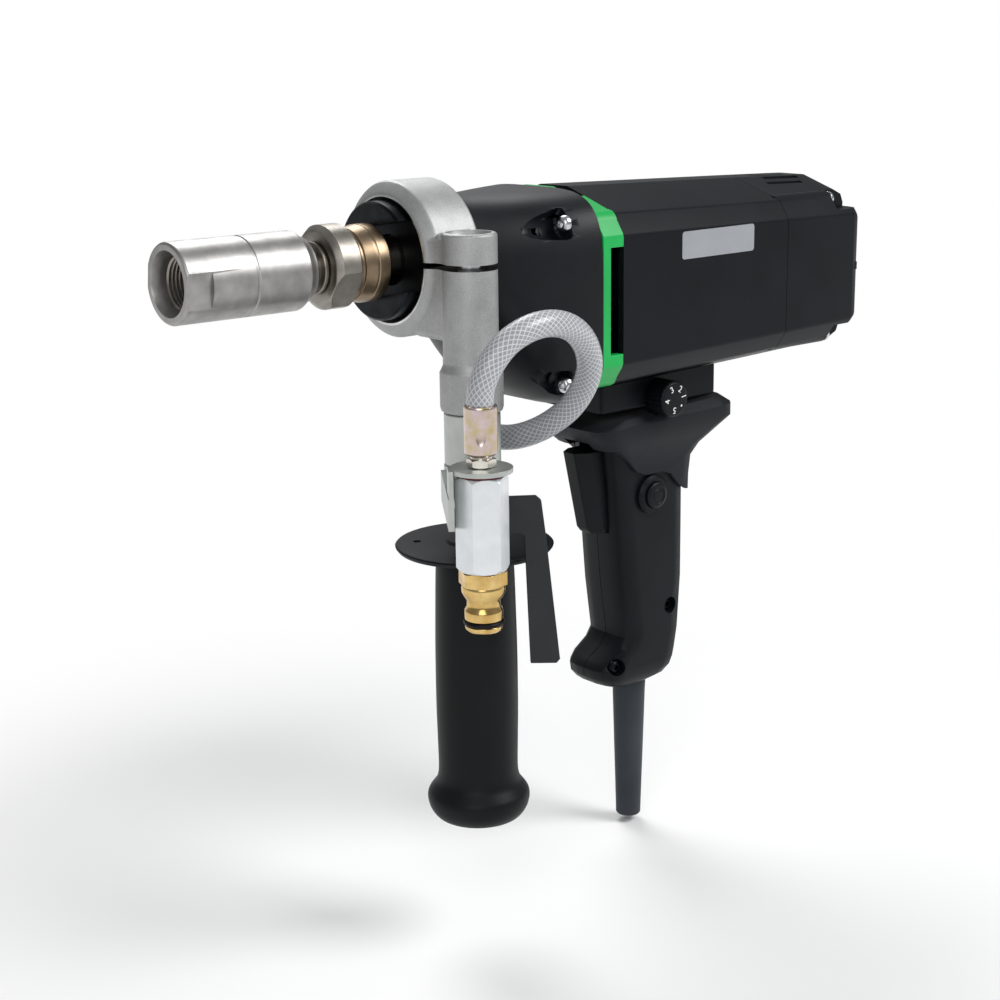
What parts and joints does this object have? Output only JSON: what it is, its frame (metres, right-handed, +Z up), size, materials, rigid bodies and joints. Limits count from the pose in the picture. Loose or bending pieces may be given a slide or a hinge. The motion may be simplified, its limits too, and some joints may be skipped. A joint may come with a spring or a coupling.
{
  "type": "core drill rig",
  "caption": "Hand-held wet diamond core drill motor with pistol grip, clamp-on side handle, water valve with lever and hose, and a threaded core bit adaptor.",
  "frame": {"origin": "on the spindle's axis at the front face of the clamping neck", "axes": "+X back along the spindle's axis to the motor, +Z up, +Y to the right as seen from behind"},
  "size_m": [0.389, 0.1454, 0.347],
  "materials": {
    "machined_steel": "turned and ground, soft sheen",
    "black_steel": "satin black oxide",
    "bronze": "turned bronze, oiled",
    "brass": "turned, bright",
    "cast_aluminium": "sand cast, grainy",
    "zinc_plate": "zinc plated, satin",
    "copper": "enamelled copper wire",
    "black_plastic": "black, slightly textured",
    "soft_black": "black, matt",
    "green_plastic": "green, satin gloss",
    "clear_hose": "clear with white braid",
    "red_seal": "dark red fibre",
    "pale_plastic": "pale, satin"
  },
  "bodies": {
    "machine": {"front_spindle_bearing": "machined_steel", "rear_spindle_bearing": "machined_steel", "front_armature_bearing": "machined_steel", "rear_armature_bearing": "machined_steel", "rear_cap_screw_1": "machined_steel", "rear_cap_screw_2": "machined_steel", "rear_cap_screw_3": "machined_steel", "rear_cap_screw_4": "machined_steel", "gear_case_screw_1": "machined_steel", "gear_case_screw_2": "machined_steel", "gear_case_screw_3": "machined_steel", "gear_case_screw_4": "machined_steel", "grip_screw_1": "machined_steel", "grip_screw_2": "machined_steel", "clamping_neck": "black_steel", "stator_core": "black_steel", "water_inlet": "brass", "brush_holder_left": "brass", "brush_holder_right": "brass", "bearing_plate": "cast_aluminium", "field_coils": "copper", "gear_case": "black_plastic", "rear_cap": "black_plastic", "motor_housing": "black_plastic", "grip_left": "black_plastic", "grip_right": "black_plastic", "control_block": "black_plastic", "grip_saddle": "soft_black", "cable_sleeve": "soft_black", "spindle_water_seal": "soft_black", "trim_band": "green_plastic", "trigger_switch": "pale_plastic", "speed_controller": "pale_plastic"},
    "spindle_group": {"spindle": "machined_steel", "core_bit_adaptor": "machined_steel", "spindle_flange_nut": "machined_steel", "release_ring": "bronze", "output_gear": "machined_steel"},
    "layshaft_group": {"layshaft": "machined_steel"},
    "armature_group": {"armature_shaft": "machined_steel", "armature_core": "black_steel", "commutator": "copper", "cooling_fan": "black_plastic"},
    "side_handle": {"clamp_ring": "cast_aluminium", "handle_tube": "zinc_plate", "valve_bracket": "zinc_plate", "valve_body": "zinc_plate", "valve_gasket": "red_seal", "water_nipple": "brass", "nipple_o_ring": "soft_black", "hose_tail": "zinc_plate", "hose_ferrule": "zinc_plate", "water_hose": "clear_hose"},
    "side_grip_group": {"side_grip": "black_plastic", "hand_guard": "black_plastic"},
    "valve_lever_group": {"valve_lever": "black_steel", "valve_ball": "machined_steel"},
    "trigger_group": {"trigger": "black_plastic"},
    "lock_button_group": {"lock_button": "black_plastic"},
    "speed_dial_group": {"speed_dial": "black_plastic"}
  },
  "joints": [
    {"name": "spindle_spin", "type": "hinge", "parent": "machine", "child": "spindle_group", "pos_m": [0, 0, 0], "axis": [1, 0, 0], "continuous": true},
    {"name": "layshaft_spin", "type": "hinge", "parent": "machine", "child": "layshaft_group", "pos_m": [0.078, 0.01928, -0.01818], "axis": [1, 0, 0], "continuous": true},
    {"name": "armature_spin", "type": "hinge", "parent": "machine", "child": "armature_group", "pos_m": [0.15, 0, -0.0235], "axis": [1, 0, 0], "continuous": true},
    {"name": "side_handle_swivel", "type": "hinge", "parent": "machine", "child": "side_handle", "pos_m": [0.0205, 0, 0], "axis": [1, 0, 0], "range_deg": [-25, 25], "deforming": ["water_hose"]},
    {"name": "side_grip_turn", "type": "hinge", "parent": "side_handle", "child": "side_grip_group", "pos_m": [0.0205, -0.0427, -0.19], "axis": [0, 0, 1], "range_deg": [0, 360]},
    {"name": "valve_lever_turn", "type": "hinge", "parent": "side_handle", "child": "valve_lever_group", "pos_m": [-0.0075, -0.083, -0.104], "axis": [-0.5706, -0.8212, 0], "range_deg": [0, 90]},
    {"name": "trigger_press", "type": "slide", "parent": "machine", "child": "trigger_group", "axis": [1, 0, 0], "range_m": [0, 0.005], "stiffness_N_per_m": 1200, "springref_m": -0.002},
    {"name": "lock_button_press", "type": "slide", "parent": "machine", "child": "lock_button_group", "axis": [0, 1, 0], "range_m": [0, 0.0025], "stiffness_N_per_m": 600, "springref_m": -0.002},
    {"name": "speed_dial_turn", "type": "hinge", "parent": "machine", "child": "speed_dial_group", "pos_m": [0.156, -0.03, -0.079], "axis": [0, 1, 0], "range_deg": [0, 240]}
  ],
  "couplings": [
    {"joint": "layshaft_spin", "follows": "spindle_spin", "ratio": -3.0769},
    {"joint": "armature_spin", "follows": "spindle_spin", "ratio": 10.598}
  ]
}
